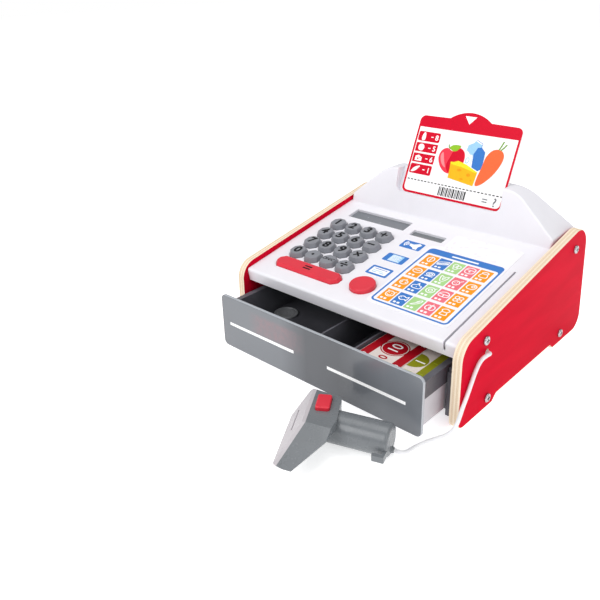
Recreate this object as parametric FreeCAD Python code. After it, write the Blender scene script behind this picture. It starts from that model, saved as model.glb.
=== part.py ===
"""Toy cash register with a drawer, keypad, card holder and corded hand scanner.

Millimetres, +Z up, front towards -Y. While the pieces are drawn, y = 0 is the front
edge of the side panels; save() then moves everything so that the origin lies on the
floor under the middle of the whole object, scanner included.
"""
import FreeCAD, Part
import math
import os

V = FreeCAD.Vector
PARTS = "parts"
X, Y, Z = V(1, 0, 0), V(0, 1, 0), V(0, 0, 1)

# ---- driving dimensions -------------------------------------------------------------
WIDTH = 245.0                 # over the two side panels
PANEL = 8.0                   # plywood thickness
IN = WIDTH / 2 - PANEL        # inner face of a side panel
DEPTH = 226.0                 # side panel, front to back
ORIGIN_Y = 48.0               # front edge of the panels to the middle of the object
TILT = 10.2                   # slope of the deck, degrees
DECK_Z = 69.25                # height of the deck's plane at y = 0
WALL = 2.5                    # moulded wall of the top housing
FIT = 0.3                     # side clearance between housing and panels

LIP_Y, LIP_Z = 7.8, 58.1      # lower front edge of the housing
HUMP_S = 164.0                # foot of the hump's front face, measured up the deck
HUMP_LEAN = 10.5              # lean of that face, degrees from upright
HUMP_TOP = 142.3              # height of the hump's flat top
HUMP_BACK_Y = 190.0           # rear edge of that top
BACK_LEAN = 27.3              # lean of the hump's back, degrees from upright
HUMP_HALF = 112.5             # half the hump's width
SHOULDER_Z = 106.8            # where its side slope starts
SHOULDER_X = 72.1             # where that slope would meet the top
HOUSING_BACK_Z = 95.0         # lower rear edge of the housing

KEY_X0, KEY_DX = -88.8, 19.2  # first key column and pitch
KEY_S0, KEY_DS = 112.5, 20.5  # first key row, measured up the deck, and pitch
KEY_BASE = (16.8, 17.4, 4.7)  # width, depth, corner cut at the deck
KEY_TOP = (14.0, 14.2, 3.9)   # the same at the top
KEY_RISE = 4.7
KEY_TRAVEL = 2.0
BAR_AT, BAR_RISE = (-59.2, 31.6), 3.4
BAR_BASE, BAR_TOP = (77.0, 16.0, 5.0), (73.6, 12.8, 4.2)
BUTTON_AT, BUTTON_R, BUTTON_RISE, BUTTON_TRAVEL = (2.0, 35.5), 11.8, 3.8, 3.0
HOLE_GAP = 0.35               # between a key and its hole in the deck

LCD = (-94.0, -24.4, 134.0, 151.2)        # x from, x to, up the deck from, to
SOLAR = (-15.0, 21.4, 130.3, 140.6)
STICKERS = {"sticker_scan": (107.0, 120.6), "sticker_swipe": (79.8, 93.9), "sticker_list": (54.7, 69.6)}
STICKER_X = (-11.4, 11.9)
PAD = [(16.0, 20.5, 4), (96.0, 20.5, 4), (96.0, 149.0, 3), (27.0, 149.0, 3), (27.0, 126.0, 2), (16.0, 121.5, 2)]
SHEET = 0.35                  # printed sheets
SWIPE_X, SWIPE_END, SWIPE_W, SWIPE_DEEP = 103.0, 118.0, 2.0, 8.0

CARD_W, CARD_H, CARD_T = 112.0, 80.0, 2.0
CARD_LEAN, CARD_X, CARD_Y, CARD_Z = 24.6, 2.0, 168.6, 119.4
POCKET_HALF, POCKET_GAP = 58.5, 0.3

DRAWER_OPEN = 35.0            # the drawer is drawn this far open
FRONT_Y, FRONT_T = -32.1, 3.0
FRONT_HALF, FRONT_Z0, FRONT_Z1 = 110.65, 6.7, 59.0
BOX_HALF, BOX_Z0, BOX_Z1, BOX_WALL = 104.9, 10.0, 48.5, 2.2
BOX_BACK = 150.0
RIM_Z, SKIRT_Z, SKIRT_T = 50.3, 35.0, 1.2
TRAY_FLOOR, NOTE_FLOOR = 22.0, 46.5
DIVIDERS = (0.0, 36.0)
CHASSIS_IN, CHASSIS_TOP = 107.0, 48.0

LEVER_X = (-1.5, 5.5)
LEVER_PIVOT = (58.0, 56.0)
PIN_R = 1.5

SCREW_YZ = [(33.9, 66.7), (191.4, 92.3), (43.6, 9.8), (179.8, 11.2)]
CORD_R = 1.6
CORD_EXIT = (1.5, 4.9)       # where the cord enters the grip's end: across it, and height
CORD_HOLE = (37.8, 54.6)

SCANNER_AT, SCANNER_TURN = (60.0, -69.2), 18.6
HALF_THICK = 14.0             # half the scanner's thickness, it lies on its side
GRIP_R, GRIP_END = 12.7, 43.0
SHELL = 2.0

# The cord's route: out of the panel, down its face, round its foot and along the floor.
CORD_ROUTE = [
    (120.0, 37.8, 54.6), (124.3, 37.6, 54.8), (126.8, 35.0, 55.8), (126.4, 30.2, 56.6), (124.9, 24.2, 54.6),
    (124.6, 18.0, 48.0), (124.5, 12.6, 38.8), (124.6, 7.4, 30.4), (124.8, 2.0, 23.6), (125.0, -2.2, 17.2),
    (124.6, -5.0, 11.0), (122.6, -7.8, 5.6), (119.0, -12.4, 2.3), (114.8, -19.4, 1.6), (111.0, -28.6, 1.6),
    (108.8, -37.6, 1.6), (108.2, -44.6, 1.9), (107.3, -49.4, 2.9), (105.2, -52.6, 4.3),
]


# ---- helpers ------------------------------------------------------------------------
def box(x0, x1, y0, y1, z0, z1):
    return Part.makeBox(x1 - x0, y1 - y0, z1 - z0, V(x0, y0, z0))


def rod(radius, start, direction, length):
    return Part.makeCylinder(radius, length, V(*start), direction)


def outline(points):
    """A closed wire in the XY plane; each point is (u, v) or (u, v, corner radius)."""
    corners = [(V(p[0], p[1], 0), p[2] if len(p) > 2 else 0.0) for p in points]
    ends = []
    for i, (here, radius) in enumerate(corners):
        before, after = corners[i - 1][0], corners[(i + 1) % len(corners)][0]
        back, on = (before - here).normalize(), (after - here).normalize()
        if radius <= 0:
            ends.append((here, None, here))
            continue
        half = back.getAngle(on) / 2
        cut = radius / math.tan(half)
        middle = (back + on).normalize()
        centre = here + middle * (radius / math.sin(half))
        ends.append((here + back * cut, centre - middle * radius, here + on * cut))
    edges = []
    for i, (start, through, finish) in enumerate(ends):
        if through is not None:
            edges.append(Part.Arc(start, through, finish).toShape())
        following = ends[(i + 1) % len(ends)][0]
        if finish.distanceToPoint(following) > 1e-6:
            edges.append(Part.LineSegment(finish, following).toShape())
    return Part.Wire(edges)


def prism(points, axis, low, high):
    """Extrude an outline: axis z takes (x, y), axis x takes (y, z), axis y takes (x, z)."""
    solid = Part.Face(outline(points)).extrude(V(0, 0, high - low))
    if axis == "z":
        solid.translate(V(0, 0, low))
    elif axis == "x":
        solid.translate(V(0, 0, low))
        solid.Placement = FreeCAD.Placement(V(0, 0, 0), FreeCAD.Rotation(Y, Z, X, "XYZ")).multiply(solid.Placement)
    else:
        solid.translate(V(0, 0, -high))
        solid.Placement = FreeCAD.Placement(V(0, 0, 0), FreeCAD.Rotation(X, Z, -Y, "XYZ")).multiply(solid.Placement)
    return solid


def block(x0, x1, y0, y1, radius):
    """Corner points of a rounded rectangle."""
    return [(x0, y0, radius), (x1, y0, radius), (x1, y1, radius), (x0, y1, radius)]


def octagon(size, cx=0.0, cy=0.0, grow=0.0):
    """Corner points of a rectangle with cut corners: size is (width, depth, cut)."""
    a, b, cut = size[0] / 2 + grow, size[1] / 2 + grow, size[2]
    return [(cx - a + cut, cy - b), (cx + a - cut, cy - b), (cx + a, cy - b + cut), (cx + a, cy + b - cut),
            (cx + a - cut, cy + b), (cx - a + cut, cy + b), (cx - a, cy + b - cut), (cx - a, cy - b + cut)]


def on_deck(shape):
    """From deck coordinates (x, distance up the slope, height off the deck) to the model."""
    placed = shape.copy()
    placed.rotate(V(0, 0, 0), X, TILT)
    placed.translate(V(0, 0, DECK_Z))
    return placed


def on_card(shape):
    """From card coordinates (x, depth behind the card's face, height up it) to the model."""
    placed = shape.copy()
    placed.rotate(V(0, 0, 0), X, -CARD_LEAN)
    placed.translate(V(CARD_X, CARD_Y, CARD_Z))
    return placed


def on_scanner(shape):
    """From the scanner's own frame, grip along +X, to where it lies on the floor."""
    placed = shape.copy()
    placed.rotate(V(0, 0, 0), Z, SCANNER_TURN)
    placed.translate(V(SCANNER_AT[0], SCANNER_AT[1], 0))
    return placed


def deck_height(y):
    return DECK_Z + math.tan(math.radians(TILT)) * y


def fuse(shapes):
    return shapes[0].multiFuse(shapes[1:]).removeSplitter()


def group(shapes):
    return Part.makeCompound(shapes)


def mirrored(shape):
    return shape.mirror(V(0, 0, 0), X)


def rounded(shape, radius, chosen):
    """Round the edges for which chosen(middle of the edge, edge) is true."""
    edges = [e for e in shape.Edges if chosen(e.CenterOfMass, e)]
    return shape.makeFillet(radius, edges)


def save(name, shape):
    placed = shape.copy()
    placed.translate(V(0, -ORIGIN_Y, 0))
    for i, solid in enumerate(placed.Solids):
        if not solid.isValid() or solid.Volume <= 0:
            raise RuntimeError(f"{name}: solid {i} is not valid")
    placed.exportStep(f"{PARTS}/{name}.step")
    size = placed.BoundBox
    print(f"{name:24s} {len(placed.Solids)} solid(s)  {size.XLength:.1f} x {size.YLength:.1f} x {size.ZLength:.1f}")


# ---- wooden side panels -------------------------------------------------------------
def panel_outline():
    """Side view: rounded front, sloping top, leaning back edge, two feet with an arch."""
    slope = math.tan(math.radians(TILT))
    top_front = 74.5
    back_top_y = 214.6
    back_bottom_y = DEPTH + 1.1
    arch = 5.5
    return [(0, 0, 9), (54, 0, 3), (60, arch, 3), (161, arch, 3), (168, 0, 3), (back_bottom_y, 0, 14),
            (back_top_y, top_front + slope * back_top_y, 22), (0, top_front, 17)]


def side_panel(side):
    low, high = (IN, IN + PANEL) if side > 0 else (-IN - PANEL, -IN)
    panel = prism(panel_outline(), "x", low, high)
    panel = panel.makeChamfer(0.6, [e for e in panel.Edges if abs(abs(e.CenterOfMass.x) - IN - PANEL) < 1e-6])
    for y, z in SCREW_YZ:
        panel = panel.cut(rod(1.85, (low - 1, y, z), X, PANEL + 2))
    if side > 0:
        panel = panel.cut(rod(2.6, (low - 1, CORD_HOLE[0], CORD_HOLE[1]), X, PANEL + 2))
    return panel


def panel_screws():
    """Pan-head cross-recess wood screws, four in each panel."""
    head_r, head_h, shank_r, length = 3.9, 2.2, 1.75, 15.0
    screws = []
    for y, z in SCREW_YZ:
        head = rod(head_r, (IN + PANEL, y, z), X, head_h)
        head = head.makeFillet(1.2, [e for e in head.Edges if abs(e.CenterOfMass.x - IN - PANEL - head_h) < 1e-6])
        screw = head.fuse(rod(shank_r, (IN + PANEL - length, y, z), X, length))
        for dy, dz in ((2.2, 0.5), (0.5, 2.2)):
            deep = IN + PANEL + head_h
            screw = screw.cut(box(deep - 1.3, deep + 1, y - dy, y + dy, z - dz, z + dz))
        screws += [screw, mirrored(screw)]
    return group(screws)


# ---- white top housing --------------------------------------------------------------
def deck_body(inset):
    """Side profile of the sloping top; inset is 0 outside and the wall inside."""
    drop = inset / math.cos(math.radians(TILT))
    front = LIP_Y - 2.3 + inset
    skirt_back = HOUSING_BACK_Z - 7.0
    bottom = 40.0 if inset else 0.0
    points = [(LIP_Y + inset, LIP_Z - bottom), (front, deck_height(front) - drop, 2.5 if not inset else 0.5),
              (240, deck_height(240) - drop), (240, skirt_back + 2 - bottom)]
    half = IN - FIT - inset
    return prism(points, "x", -half, half)


def hump_body(inset):
    rise = inset / math.cos(math.radians(41.3))
    side, top = HUMP_HALF - inset, HUMP_TOP - inset
    shoulder = SHOULDER_Z - rise + inset * math.tan(math.radians(41.3))
    run = (top - shoulder) / math.tan(math.radians(41.3))
    radius = 30 - inset
    points = [(-side, 50), (side, 50), (side, shoulder, 3), (side - run, top, radius),
              (-side + run, top, radius), (-side, shoulder, 3)]
    body = prism(points, "y", 140, 250)
    lean = math.tan(math.radians(HUMP_LEAN))
    foot_y = HUMP_S * math.cos(math.radians(TILT)) + inset / math.cos(math.radians(HUMP_LEAN))
    foot_z = DECK_Z + HUMP_S * math.sin(math.radians(TILT))
    behind = prism([(foot_y - foot_z * lean, 0), (400, 0), (400, 200), (foot_y + (200 - foot_z) * lean, 200)],
                   "x", -200, 200)
    return body.common(behind)


def in_front_of_back(inset):
    """Everything ahead of the hump's leaning back and above the housing's rear edge."""
    lean = math.tan(math.radians(BACK_LEAN))
    shift = inset / math.cos(math.radians(BACK_LEAN))

    def back_y(z):
        return HUMP_BACK_Y + (HUMP_TOP - z) * lean - shift

    return prism([(-30, 0), (back_y(0), 0), (back_y(170), 170), (-30, 170)], "x", -200, 200)


def card_pocket(grow):
    """The leaning recess that the list card stands in."""
    half = POCKET_HALF + grow
    deep = CARD_T + POCKET_GAP + grow
    points = [(-half - CARD_X, -0.4 - grow, 6 + grow), (half - CARD_X, -0.4 - grow, 6 + grow),
              (half - CARD_X, 70), (-half - CARD_X, 70)]
    return on_card(prism(points, "y", -40, deep))


def key_places():
    names = [["1", "2", "3", "plus"], ["4", "5", "6", "minus"], ["7", "8", "9", "times"],
             ["0", "point", "on_clear", "divide"]]
    for row, line in enumerate(names):
        for column, name in enumerate(line):
            yield f"key_{name}", KEY_X0 + column * KEY_DX, KEY_S0 - row * KEY_DS


def deck_holes():
    cuts = []
    for _, x, s in key_places():
        cuts.append(prism(octagon(KEY_BASE, x, s, HOLE_GAP), "z", -6, 6))
    cuts.append(prism(octagon(BAR_BASE, *BAR_AT, HOLE_GAP), "z", -6, 6))
    cuts.append(rod(BUTTON_R + HOLE_GAP, (*BUTTON_AT, -6), Z, 12))
    for x0, x1, s0, s1 in (LCD, SOLAR):
        cuts.append(prism(block(x0, x1, s0, s1, 0.8), "z", -6, 6))
    half = SWIPE_W / 2
    cuts.append(box(SWIPE_X - half, SWIPE_X + half, -5, SWIPE_END, -SWIPE_DEEP, 6))
    return [on_deck(c) for c in cuts]


def lever_ears():
    """Two ears under the deck that carry the latch lever's pin."""
    y, z = LEVER_PIVOT
    ears = []
    for x0 in (LEVER_X[0] - 2.9, LEVER_X[1] + 0.4):
        ear = box(x0, x0 + 2.5, y - 4, y + 4, z - 4, deck_height(y) - 1.0)
        ears.append(ear.cut(rod(PIN_R + 0.02, (x0 - 1, y, z), X, 5)))
    return ears


def spring_seat():
    """A bridge under the release button: a ring on two posts."""
    x, s = BUTTON_AT
    ring = rod(9.0, (x, s, -13.5), Z, 1.8).cut(rod(4.0, (x, s, -14), Z, 3))
    parts = [ring]
    for dx in (-16.2, 13.8):
        parts.append(box(x + dx, x + dx + 2.4, s - 4, s + 4, -13.5, -1.5))
    parts.append(box(x - 16.2, x - 8.0, s - 4, s + 4, -13.5, -11.7))
    parts.append(box(x + 8.0, x + 16.2, s - 4, s + 4, -13.5, -11.7))
    return [on_deck(p) for p in parts]


def housing_bosses():
    """Blocks in the housing's sides that the upper panel screws bite into."""
    bosses = []
    for y, z in SCREW_YZ[:2]:
        boss = box(IN - FIT - 9, IN - FIT, y - 5, y + 5, z - 5, deck_height(y) - 1.0)
        bosses += [boss, mirrored(boss)]
    return bosses


def board_posts():
    """Posts that the calculator board is screwed to."""
    posts = []
    for x in (-101.0, -18.0):
        for s in (46.0, 101.0):
            post = rod(2.6, (x, s, -9.8), Z, 9.0).cut(rod(1.0, (x, s, -10), Z, 6))
            posts.append(on_deck(post))
    return posts


def top_housing():
    outer = deck_body(0).fuse(hump_body(0)).removeSplitter().common(in_front_of_back(0))
    outer = rounded(outer, 2.0, lambda c, e: c.z > 97 and c.y < 186 and e.BoundBox.YLength < 30
                    and c.y > 161 and abs(c.x) < 111 and e.BoundBox.XLength > 1)
    inner = deck_body(WALL).fuse(hump_body(WALL)).removeSplitter().common(in_front_of_back(WALL))
    above_cover = box(-200, 200, LIP_Y + 60, 300, 0, HOUSING_BACK_Z - 7.0)
    shell = outer.cut(inner).cut(above_cover.common(box(-200, 200, 195, 300, 0, HOUSING_BACK_Z)))
    lining = card_pocket(WALL).common(outer)
    groove_walls = on_deck(box(SWIPE_X - 3.2, SWIPE_X + 3.2, 9.5, SWIPE_END + 2.5, -SWIPE_DEEP - 1.5, -1))
    shell = fuse([shell, lining, groove_walls.common(outer)] + lever_ears() + spring_seat()
                 + housing_bosses() + board_posts())
    cuts = deck_holes() + [card_pocket(0)]
    for y, z in SCREW_YZ[:2]:
        bore = rod(1.78, (IN - 9.5, y, z), X, 12)
        cuts += [bore, mirrored(bore)]
    for x, z in cover_screw_places()[:2]:
        cuts.append(rod(1.2, (x, 196, z), Y, 25))
    return shell.cut(group(cuts))


# ---- back, chassis and inner pieces -------------------------------------------------
def cover_screw_places():
    return [(-98.0, 92.0), (98.0, 92.0), (-98.0, 14.0), (98.0, 14.0)]


def rear_cover():
    plate = prism(block(-IN + FIT, IN - FIT, 8.3, HOUSING_BACK_Z - 7.4, 2), "y", 212.5, 215.0)
    tabs = [box(x - 6, x + 6, 209.9, 212.5, 70, HOUSING_BACK_Z - 9) for x in (-60, 0, 60)]
    cover = fuse([plate] + tabs)
    for x in (-98.0, 98.0):
        for z in (14.0, 80.0):
            cover = cover.cut(rod(1.7, (x, 205, z), Y, 15))
    for i in range(9):
        slot = prism(block(-32 + i * 8 - 1.2, -32 + i * 8 + 1.2, 30, 56, 1.1), "y", 205, 220)
        cover = cover.cut(slot)
    return cover


def rear_cover_screws():
    screws = []
    for x in (-98.0, 98.0):
        for z in (14.0, 80.0):
            head = rod(3.0, (x, 215.0, z), Y, 1.6)
            screw = head.fuse(rod(1.5, (x, 204.0, z), Y, 11.5))
            screw = screw.cut(box(x - 1.8, x + 1.8, 216.0, 218, z - 0.4, z + 0.4))
            screws.append(screw.cut(box(x - 0.4, x + 0.4, 216.0, 218, z - 1.8, z + 1.8)))
    return group(screws)


def chassis():
    """Black base: floor, side walls that guide the drawer, rear wall and screw blocks."""
    parts = [box(-IN + FIT, IN - FIT, 14, 212.0, 5.6, 8.2)]
    for side in (1, -1):
        wall = box(CHASSIS_IN, CHASSIS_IN + 2.6, 9, 206, 5.6, CHASSIS_TOP)
        flange = box(CHASSIS_IN, IN - 2.0, 7, 9.5, 5.6, CHASSIS_TOP - 3)
        pieces = [wall, flange]
        for y, z in SCREW_YZ[2:]:
            pieces.append(box(CHASSIS_IN + 1, IN - FIT, y - 5, y + 5, 5.6, z + 5))
        for z in (14.0, 80.0):
            pieces.append(box(92, 104, 204.2, 212.5, z - 6 if z > 20 else 5.6, z + 6))
        pieces.append(box(92, 104, 204.2, 206.7, 8, 86))
        parts += pieces if side > 0 else [mirrored(p) for p in pieces]
    parts.append(box(-CHASSIS_IN - 1, CHASSIS_IN + 1, 204.2, 206.7, 5.6, 62))
    for x in (-62.0, 58.0):
        parts.append(box(x, x + 4, 16, 200, 8, BOX_Z0 - 0.3))
    base = fuse(parts)
    cuts = []
    for y, z in SCREW_YZ[2:]:
        bore = rod(1.78, (IN - 9, y, z), X, 12)
        cuts += [bore, mirrored(bore)]
    for x in (-98.0, 98.0):
        for z in (14.0, 80.0):
            cuts.append(rod(1.52, (x, 203.9, z), Y, 12))
    return base.cut(group(cuts))


def glazing(opening, low, high, margin=2.5):
    x0, x1, s0, s1 = opening
    return on_deck(prism(block(x0 - margin, x1 + margin, s0 - margin, s1 + margin, 1), "z", low, high))


def calculator_board():
    board = prism(block(-104, -14.5, 21, 126, 2), "z", -11.4, -9.8)
    for x in (-101.0, -18.0):
        for s in (46.0, 101.0):
            board = board.cut(rod(1.3, (x, s, -12), Z, 4))
    chip = prism(block(-66, -52, 8, 20, 0.5), "z", -11.4, -9.8)
    return on_deck(board.fuse(chip.common(board)))


def board_screws():
    screws = []
    for x in (-101.0, -18.0):
        for s in (46.0, 101.0):
            screws.append(on_deck(rod(2.2, (x, s, -12.8), Z, 1.4).fuse(rod(0.98, (x, s, -12.8), Z, 8.0))))
    return group(screws)


def key_mat():
    """Rubber sheet on the board with a dome under each key."""
    mat = prism(block(-97.5, -21.5, 22.5, 121.0, 2), "z", -9.75, -8.8)
    domes = [(x, s) for _, x, s in key_places()] + [(BAR_AT[0] - 20, BAR_AT[1]), (BAR_AT[0] + 20, BAR_AT[1])]
    cones = [Part.makeCone(3.6, 2.2, 1.4, V(x, s, -8.9), Z) for x, s in domes]
    return on_deck(fuse([mat] + cones))


# ---- keys and buttons ---------------------------------------------------------------
def cap(base, top, rise):
    """A tapered cap with cut corners on a straight skirt that reaches below the deck."""
    straight = 0.6
    low = outline(octagon(base))
    low.translate(V(0, 0, straight))
    high = outline(octagon(top))
    high.translate(V(0, 0, rise))
    crown = Part.makeLoft([low, high], True, True)
    crown = crown.makeFillet(0.7, [e for e in crown.Edges if e.CenterOfMass.z > rise - 0.01
                                   or (e.CenterOfMass.z > 1.5 and e.BoundBox.ZLength > 1)])
    skirt = prism(octagon(base), "z", -3.0, straight)
    flange = prism(octagon(base, grow=0.75), "z", -4.0, -2.95)
    return crown, skirt, flange


def key(x, s):
    crown, skirt, flange = cap(KEY_BASE, KEY_TOP, KEY_RISE)
    solid = fuse([crown, skirt, flange, rod(2.0, (0, 0, -5.0), Z, 2)])
    solid.translate(V(x, s, 0))
    return on_deck(solid)


def equals_bar():
    crown, skirt, flange = cap(BAR_BASE, BAR_TOP, BAR_RISE)
    stems = [rod(2.0, (dx, 0, -5.0), Z, 2) for dx in (-20, 20)]
    solid = fuse([crown, skirt, flange] + stems)
    solid.translate(V(*BAR_AT, 0))
    return on_deck(solid)


def release_button():
    """Round button that trips the drawer's latch through its stem."""
    x, s = BUTTON_AT
    disc = rod(BUTTON_R, (x, s, -3.2), Z, BUTTON_RISE + 3.2)
    disc = disc.makeFillet(1.1, [e for e in disc.Edges if e.CenterOfMass.z > BUTTON_RISE - 0.01])
    flange = rod(BUTTON_R + 1.6, (x, s, -4.1), Z, 1.2)
    stem = rod(3.4, (x, s, -14.4), Z, 11).fuse(rod(1.5, (x, s, -16.0), Z, 2))
    return on_deck(fuse([disc, flange, stem]))


def coil(radius, wire, pitch, turns, start, direction):
    """A coil spring of eight-sided wire with its ends cut square, from start along direction."""
    helix = Part.makeHelix(pitch, pitch * turns, radius)
    edge = helix.Edges[0]
    across = edge.tangentAt(edge.FirstParameter).cross(X)
    corners = []
    for i in range(8):
        turn = math.radians(45.0 * i + 22.5)
        corners.append(V(radius, 0, 0) + X * (wire * 1.05 * math.cos(turn)) + across * (wire * 1.05 * math.sin(turn)))
    profile = Part.makePolygon(corners + corners[:1])
    solid = Part.Wire(helix.Edges).makePipeShell([profile], True, True)
    solid.Placement = FreeCAD.Placement(V(*start), FreeCAD.Rotation(Z, direction))
    return solid


def release_spring():
    x, s = BUTTON_AT
    return on_deck(coil(5.2, 0.35, 1.6, 4, (x, s, -11.3), Z))


def latch_lever():
    """Rocks on its pin: the button pushes the front arm, the hook lifts off the rail."""
    y, z = LEVER_PIVOT
    tip_y, tip_z = 35.4, 59.0
    points = [(tip_y, tip_z - 3.0, 1), (y - 3, z - 3.4), (y + 4, z - 3.4), (y + 24, z - 2.0), (y + 24, 50.6),
              (y + 28, 50.6), (y + 28, z + 1.2, 1), (y + 4, z + 3.4), (y - 3, z + 3.4), (tip_y, tip_z, 1)]
    arm = prism(points, "x", *LEVER_X)
    return arm.cut(rod(PIN_R + 0.05, (LEVER_X[0] - 1, y, z), X, 10))


def latch_pin():
    return rod(PIN_R, (LEVER_X[0] - 2.9, *LEVER_PIVOT), X, LEVER_X[1] - LEVER_X[0] + 5.8)


# ---- drawer -------------------------------------------------------------------------
def drawer_front():
    plate = prism(block(-FRONT_HALF, FRONT_HALF, FRONT_Z0, FRONT_Z1, 5), "y", FRONT_Y, FRONT_Y + FRONT_T)
    return plate.makeFillet(0.7, [e for e in plate.Edges if abs(e.CenterOfMass.y - FRONT_Y) < 1e-6
                                  or abs(e.CenterOfMass.y - FRONT_Y - FRONT_T) < 1e-6])


def drawer_box():
    back = FRONT_Y + FRONT_T
    outer = box(-BOX_HALF, BOX_HALF, back, BOX_BACK, BOX_Z0, BOX_Z1)
    inner = box(-BOX_HALF + BOX_WALL, BOX_HALF - BOX_WALL, back + BOX_WALL, BOX_BACK - BOX_WALL,
                BOX_Z0 + BOX_WALL, BOX_Z1 + 1)
    return outer.cut(inner)


def coin_tray():
    """Black insert: rim over the box's walls, well with dividers, raised note bay."""
    front, back = FRONT_Y + FRONT_T + 0.1, BOX_BACK + 1.4
    gap = 0.15
    half = BOX_HALF + gap + SKIRT_T
    cover = box(-half, half, front, back, BOX_Z1 + 0.05, RIM_Z)
    wall_x, wall_front, wall_back = BOX_HALF - BOX_WALL - gap, front + BOX_WALL + gap, BOX_BACK - BOX_WALL - gap
    well = box(-wall_x, wall_x, wall_front, wall_back, TRAY_FLOOR - 1.6, BOX_Z1 + 0.1)
    skirts = []
    for side in (1, -1):
        profile = [(front + 6, SKIRT_Z), (back, SKIRT_Z), (back, RIM_Z), (front, RIM_Z), (front, SKIRT_Z + 3)]
        low, high = (BOX_HALF + gap, half) if side > 0 else (-half, -BOX_HALF - gap)
        skirts.append(prism(profile, "x", low, high))
    skirts.append(box(-half, half, BOX_BACK + gap, back, SKIRT_Z, RIM_Z))
    tray = fuse([cover, well] + skirts)
    thin = 1.6
    columns = [-wall_x + thin, DIVIDERS[0] - 0.8, DIVIDERS[0] + 0.8, DIVIDERS[1] - 0.8, DIVIDERS[1] + 0.8, wall_x - thin]
    split = 62.0
    bays = [(columns[0], columns[1], wall_front + thin, split), (columns[0], columns[1], split + thin, wall_back - thin),
            (columns[2], columns[3], wall_front + thin, split), (columns[2], columns[3], split + thin, wall_back - thin)]
    for x0, x1, y0, y1 in bays:
        tray = tray.cut(prism(block(x0, x1, y0, y1, 3), "z", TRAY_FLOOR, 60))
    note_bay = block(columns[4], columns[5], wall_front + thin, wall_back - thin, 3)
    tray = tray.cut(prism(note_bay, "z", NOTE_FLOOR, 60))
    under = box(columns[4], columns[5], wall_front + thin, wall_back - thin, 0, NOTE_FLOOR - thin)
    tray = tray.cut(under)
    closed_hook = LEVER_PIVOT[0] + 24
    rail = box(*LEVER_X, 34, 100, 40, RIM_Z)
    notch = box(LEVER_X[0] - 1, LEVER_X[1] + 1, closed_hook - DRAWER_OPEN - 0.6, closed_hook - DRAWER_OPEN + 5, 45, 60)
    return tray.fuse(rail).removeSplitter().cut(notch)


def drawer_screws():
    """Screws through the box's front wall into the back of the drawer front."""
    screws = []
    inside = FRONT_Y + FRONT_T + BOX_WALL
    for x in (-85.0, -30.0, 30.0, 85.0):
        head = rod(2.4, (x, inside, 16.0), Y, 1.0)
        screws.append(head.fuse(rod(1.2, (x, inside - BOX_WALL - 2.0, 16.0), Y, BOX_WALL + 2.0)))
    return group(screws)


def drawer_spring():
    """Pushes the released drawer out; it sits between the box and the rear wall."""
    return coil(5.0, 0.45, 5.2, 9.6, (-40.0, 152.4, 28.0), Y)


def play_coin():
    return rod(11.8, (-86.5, 27.5, TRAY_FLOOR + 0.05), Z, 1.8)


def play_notes():
    lower = box(66.0, 99.8, -22.0, 60.0, NOTE_FLOOR, NOTE_FLOOR + 0.5)
    upper = box(38.2, 78.5, -22.0, 66.0, NOTE_FLOOR + 0.55, NOTE_FLOOR + 1.05)
    return upper, lower


# ---- list card ----------------------------------------------------------------------
def list_card():
    half, tab, rise = CARD_W / 2, 23.0, 8.0
    radius = 6.0
    plate = prism([(-half, 0, radius), (half, 0, radius), (half, CARD_H, radius), (-half, CARD_H, radius)],
                  "y", 0, CARD_T)
    arch_r = (tab * tab + rise * rise) / (2 * rise)
    disc = rod(arch_r, (0, 0, CARD_H + rise - arch_r), Y, CARD_T)
    arch = disc.common(box(-half, half, -1, 10, CARD_H - 4, CARD_H + 20))
    return on_card(plate.fuse(arch).removeSplitter())


# ---- hand scanner -------------------------------------------------------------------
HEAD_PLAN = [(-38.0, 0.6), (-31.0, 22.0), (-3.0, 18.5), (3.6, -8.0), (4.0, -30.0), (-12.0, -60.3), (-26.4, -55.6)]
BEVEL_FOOT = (V(-38.0, 0.6, HALF_THICK), V(-26.4, -55.6, HALF_THICK))
FOLD_Y, NOSE_Y = -20.5, -58.5
UNDER = (V(4.0, -27.0, 22.5), V(-12.0, -60.3, 13.2), V(-23.0, -10.0, 0.0))   # plane under the head's grip side


def slab_beyond(point, normal, size=200.0):
    """A big block on the far side of a plane."""
    solid = box(-size, size, -size, size, 0, size)
    solid.Placement = FreeCAD.Placement(point, FreeCAD.Rotation(Z, normal))
    return solid


def bevel_plane(inset):
    along = (BEVEL_FOOT[1] - BEVEL_FOOT[0]).normalize()
    outward = along.cross(Z)
    if outward.x > 0:
        outward = -outward
    normal = (outward + Z).normalize()
    return BEVEL_FOOT[0] - normal * inset, normal


def nose_plane(inset):
    drop = HALF_THICK / (FOLD_Y - NOSE_Y)
    normal = V(0, -drop, 1).normalize()
    return V(0, FOLD_Y, 2 * HALF_THICK) - normal * inset, normal


def under_plane(inset):
    normal = (UNDER[1] - UNDER[0]).cross(UNDER[2] - UNDER[0]).normalize()
    if normal.z > 0:
        normal = -normal
    return UNDER[0] - normal * inset, normal


def both_sides(cutter):
    """The cutter and its copy mirrored in the scanner's middle plane."""
    return [cutter, cutter.mirror(V(0, 0, HALF_THICK), Z)]


def scanner_head(inset, bevel_inset):
    plan = Part.Face(outline([(x, y, 2.5) for x, y in HEAD_PLAN]))
    if inset:
        plan = Part.Face(plan.OuterWire.makeOffset2D(-inset))
    head = plan.extrude(V(0, 0, 2 * (HALF_THICK - inset)))
    head.translate(V(0, 0, inset))
    for place, normal in (bevel_plane(bevel_inset), nose_plane(inset)):
        for cutter in both_sides(slab_beyond(place, normal)):
            head = head.cut(cutter)
    return head.cut(slab_beyond(*under_plane(inset)))


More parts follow.
